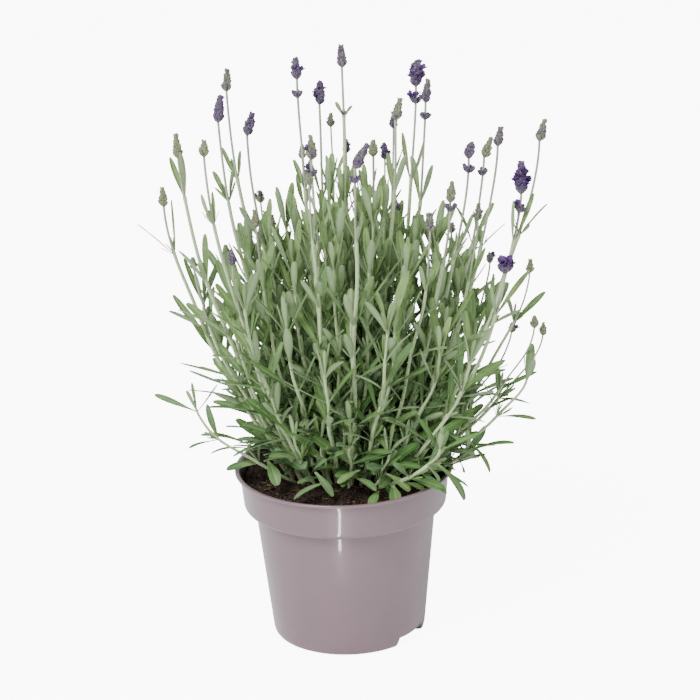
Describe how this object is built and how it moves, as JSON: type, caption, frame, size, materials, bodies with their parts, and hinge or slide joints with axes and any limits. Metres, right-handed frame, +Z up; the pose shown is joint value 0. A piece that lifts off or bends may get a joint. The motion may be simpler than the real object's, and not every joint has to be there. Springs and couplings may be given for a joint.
{
  "type": "potted lavender",
  "caption": "Lavender plant with upright flower spikes and narrow grey-green leaves, rooted in dark compost in a round tapered nursery pot with a stepped rim band.",
  "frame": {"origin": "middle of the pot's base, on the plane that the pot stands on", "axes": "+Z up along the pot's axis; the side that faces the viewer is -Y, and the widest spread of the plant is along X"},
  "size_m": [0.2833, 0.2207, 0.4164],
  "materials": {
    "pot_plastic": "moulded polypropylene, glossy taupe",
    "compost": "damp fibrous peat compost",
    "leaf_green": "soft grey-green leaf and stem with fine hairs",
    "flower_violet": "grey-green and violet flower buds"
  },
  "bodies": {
    "root": {"pot": "pot_plastic", "compost": "compost", "flower_stem_01": "leaf_green", "flower_stem_02": "leaf_green", "flower_stem_03": "leaf_green", "flower_stem_04": "leaf_green", "flower_stem_05": "leaf_green", "flower_stem_06": "leaf_green", "flower_stem_07": "leaf_green", "flower_stem_08": "leaf_green", "flower_stem_09": "leaf_green", "flower_stem_10": "leaf_green", "flower_stem_11": "leaf_green", "flower_stem_12": "leaf_green", "flower_stem_13": "leaf_green", "flower_stem_14": "leaf_green", "flower_stem_15": "leaf_green", "flower_stem_16": "leaf_green", "flower_stem_17": "leaf_green", "flower_stem_18": "leaf_green", "flower_stem_19": "leaf_green", "flower_stem_20": "leaf_green", "flower_stem_21": "leaf_green", "flower_stem_22": "leaf_green", "leafy_shoot_01": "leaf_green", "leafy_shoot_02": "leaf_green", "leafy_shoot_03": "leaf_green", "leafy_shoot_04": "leaf_green", "leafy_shoot_05": "leaf_green", "leafy_shoot_06": "leaf_green", "leafy_shoot_07": "leaf_green", "leafy_shoot_08": "leaf_green", "leafy_shoot_09": "leaf_green", "leafy_shoot_10": "leaf_green", "leafy_shoot_11": "leaf_green", "leafy_shoot_12": "leaf_green", "leafy_shoot_13": "leaf_green", "leafy_shoot_14": "leaf_green", "flower_spike_01": "flower_violet", "flower_spike_02": "flower_violet", "flower_spike_03": "flower_violet", "flower_spike_04": "flower_violet", "flower_spike_05": "flower_violet", "flower_spike_06": "flower_violet", "flower_spike_07": "flower_violet", "flower_spike_08": "flower_violet", "flower_spike_09": "flower_violet", "flower_spike_10": "flower_violet", "flower_spike_11": "flower_violet", "flower_spike_12": "flower_violet", "flower_spike_13": "flower_violet", "flower_spike_14": "flower_violet", "flower_spike_15": "flower_violet", "flower_spike_16": "flower_violet", "flower_spike_17": "flower_violet", "flower_spike_18": "flower_violet", "flower_spike_19": "flower_violet", "flower_spike_20": "flower_violet", "flower_spike_21": "flower_violet", "flower_spike_22": "flower_violet"}
  },
  "joints": []
}
